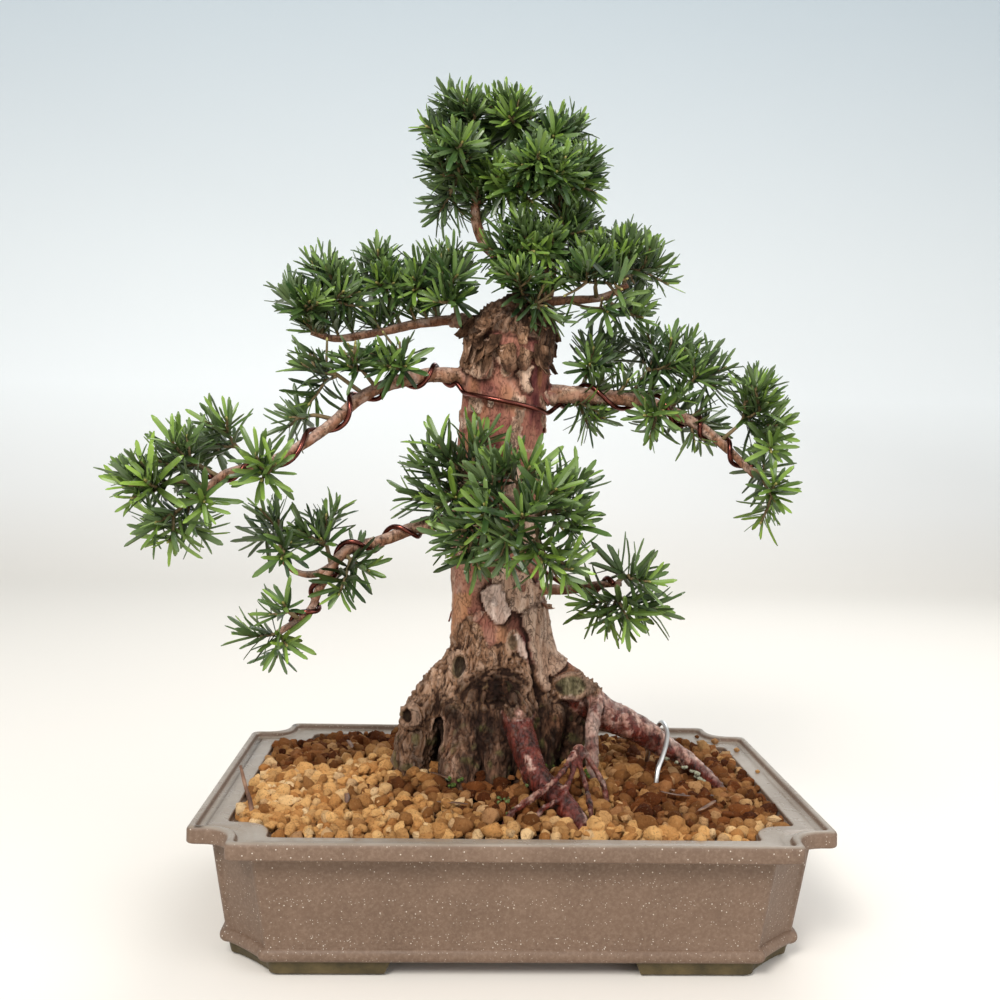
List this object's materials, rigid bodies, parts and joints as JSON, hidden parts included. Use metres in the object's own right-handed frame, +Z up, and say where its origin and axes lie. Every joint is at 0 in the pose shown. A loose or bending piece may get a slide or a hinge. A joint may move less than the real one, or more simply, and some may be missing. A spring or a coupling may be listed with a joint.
{
  "type": "japanese yew bonsai in its pot",
  "caption": "Old Japanese yew trained as a bonsai, with wired branches and needle foliage, in a rectangular footed stoneware pot.",
  "frame": {"origin": "middle of the whole plant's box, on the plane that the pot's four feet rest on", "axes": "+X along the pot's long side to the right as seen from the front, -Y towards the front, +Z up the tree"},
  "size_m": [0.4248, 0.268, 0.5428],
  "materials": {
    "stoneware": "satin",
    "soil": "matte",
    "bark": "matte",
    "needles": "satin",
    "screen": "matte",
    "brown_wire": "satin",
    "bright_wire": "satin"
  },
  "bodies": {
    "root": {"pot": "stoneware", "soil": "soil", "screen_left": "screen", "screen_right": "screen", "trunk": "bark", "dry_twig": "bark", "wire_upper": "brown_wire", "wire_lower": "brown_wire", "tie_wire": "bright_wire", "spray_front_22": "needles", "spray_front_23": "needles", "spray_front_24": "needles", "spray_front_25": "needles", "spray_front_26": "needles", "spray_front_27": "needles", "spray_front_28": "needles", "spray_front_29": "needles", "spray_leader_37": "needles", "spray_leader_39": "needles", "spray_leader_40": "needles", "spray_leader_45": "needles", "spray_leader_50": "needles", "spray_leader_cross_42": "needles", "spray_leader_right_38": "needles", "spray_leader_right_41": "needles", "spray_leader_right_43": "needles", "spray_leader_right_44": "needles", "spray_leader_right_46": "needles", "spray_lower_left_32": "needles", "spray_lower_left_33": "needles", "spray_lower_left_34": "needles", "spray_lower_left_side_30": "needles", "spray_lower_left_side_31": "needles", "spray_lower_right_35": "needles", "spray_lower_right_36": "needles", "spray_mid_left_06": "needles", "spray_mid_left_07": "needles", "spray_mid_left_08": "needles", "spray_mid_left_09": "needles", "spray_mid_left_10": "needles", "spray_mid_left_11": "needles", "spray_mid_left_12": "needles", "spray_mid_left_13": "needles", "spray_mid_left_14": "needles", "spray_right_15": "needles", "spray_right_16": "needles", "spray_right_17": "needles", "spray_right_18": "needles", "spray_right_19": "needles", "spray_right_20": "needles", "spray_right_21": "needles", "spray_upper_left_01": "needles", "spray_upper_left_02": "needles", "spray_upper_left_03": "needles", "spray_upper_left_04": "needles", "spray_upper_left_05": "needles", "spray_upper_right_47": "needles", "spray_upper_right_48": "needles", "spray_upper_right_49": "needles", "spray_upper_right_51": "needles"}
  },
  "joints": []
}
